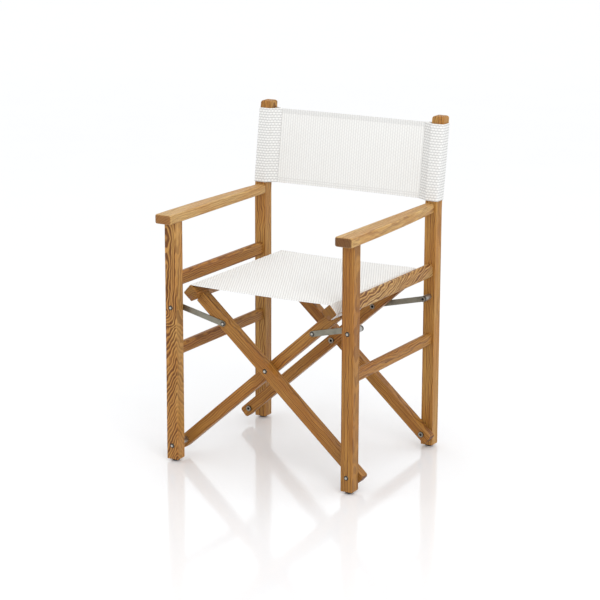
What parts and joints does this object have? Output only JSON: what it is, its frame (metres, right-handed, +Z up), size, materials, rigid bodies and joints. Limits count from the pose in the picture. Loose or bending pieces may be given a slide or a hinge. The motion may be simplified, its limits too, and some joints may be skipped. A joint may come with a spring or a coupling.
{
  "type": "director chair",
  "caption": "Folding wooden director chair with crossed slats, armrests, side rails, metal links and a mesh canvas seat and back.",
  "frame": {"origin": "middle of the chair's footprint box, on the floor", "axes": "+X across the chair towards the sitter's left, +Y towards the backrest, +Z up"},
  "size_m": [0.5806, 0.555, 0.903],
  "materials": {
    "leg_wood": "oiled hardwood, satin",
    "armrest_wood": "oiled hardwood, satin, lighter board",
    "rail_wood": "oiled hardwood, satin",
    "slat_wood": "oiled hardwood, satin",
    "dowel_wood": "plain turned dowel, matte",
    "seat_canvas": "coated mesh cloth, matte",
    "back_canvas": "coated mesh cloth, matte",
    "link_metal": "dull, lightly brushed",
    "bolt_steel": "bright nickel plate",
    "zinc_steel": "zinc plate, satin",
    "glide_plastic": "black moulded plastic"
  },
  "bodies": {
    "left_side": {"front_leg_left": "leg_wood", "rear_post_left": "leg_wood", "armrest_left": "armrest_wood", "upper_side_rail_left": "rail_wood", "lower_side_rail_left": "rail_wood", "glides_left": "glide_plastic", "glide_nails_left": "zinc_steel", "armrest_screw_left": "zinc_steel", "link_nuts_left": "zinc_steel", "slat_nuts_left": "zinc_steel", "armrest_dowel_left": "rail_wood", "slat_bolts_left": "bolt_steel", "link_bolts_left": "bolt_steel", "back_sleeve_left": "back_canvas", "slat_spacers_left": "zinc_steel", "back_panel": "back_canvas"},
    "right_side": {"front_leg_right": "leg_wood", "rear_post_right": "leg_wood", "armrest_right": "armrest_wood", "upper_side_rail_right": "rail_wood", "lower_side_rail_right": "rail_wood", "glides_right": "glide_plastic", "glide_nails_right": "zinc_steel", "armrest_screw_right": "zinc_steel", "link_nuts_right": "zinc_steel", "slat_nuts_right": "zinc_steel", "armrest_dowel_right": "rail_wood", "slat_bolts_right": "bolt_steel", "link_bolts_right": "bolt_steel", "back_sleeve_right": "back_canvas", "slat_washers_right": "zinc_steel", "link_spacers_right": "zinc_steel"},
    "frame_a": {"slat_front_a": "slat_wood", "slat_rear_a": "slat_wood", "seat_rail_right": "slat_wood", "seat_dowel_right": "dowel_wood", "rail_screws_right": "zinc_steel", "link_inserts_a": "zinc_steel", "centre_washers": "zinc_steel", "centre_nuts": "zinc_steel", "centre_bolts": "bolt_steel", "seat_canvas": "seat_canvas"},
    "frame_b": {"slat_front_b": "slat_wood", "slat_rear_b": "slat_wood", "seat_rail_left": "slat_wood", "seat_dowel_left": "dowel_wood", "rail_screws_left": "zinc_steel", "link_inserts_b": "zinc_steel"},
    "left_links": {"link_front_left": "link_metal", "link_rear_left": "link_metal", "link_heads_left": "bolt_steel"},
    "right_links": {"link_front_right": "link_metal", "link_rear_right": "link_metal", "link_heads_right": "bolt_steel"}
  },
  "joints": [
    {"name": "fold", "type": "hinge", "parent": "left_side", "child": "frame_a", "pos_m": [-0.263, 0, 0.044], "axis": [0, -1, 0], "range_deg": [0, 33.04], "deforming": ["back_panel"]},
    {"name": "slat_cross", "type": "hinge", "parent": "frame_a", "child": "frame_b", "pos_m": [0, 0, 0.278], "axis": [0, -1, 0], "range_deg": [-71.73, 0], "deforming": ["seat_canvas"]},
    {"name": "right_foot", "type": "hinge", "parent": "frame_b", "child": "right_side", "pos_m": [0.263, 0, 0.044], "axis": [0, -1, 0], "range_deg": [0, 33.09]},
    {"name": "left_link", "type": "hinge", "parent": "left_side", "child": "left_links", "pos_m": [-0.263, 0, 0.422], "axis": [0, -1, 0], "range_deg": [0, 76.32]},
    {"name": "right_link", "type": "hinge", "parent": "right_side", "child": "right_links", "pos_m": [0.263, 0, 0.422], "axis": [0, -1, 0], "range_deg": [-76.32, 0]}
  ],
  "couplings": [
    {"joint": "slat_cross", "follows": "fold", "ratio": -2.1695},
    {"joint": "right_foot", "follows": "fold", "ratio": 1},
    {"joint": "left_link", "follows": "fold", "ratio": 2.3085},
    {"joint": "right_link", "follows": "fold", "ratio": -2.3085}
  ]
}
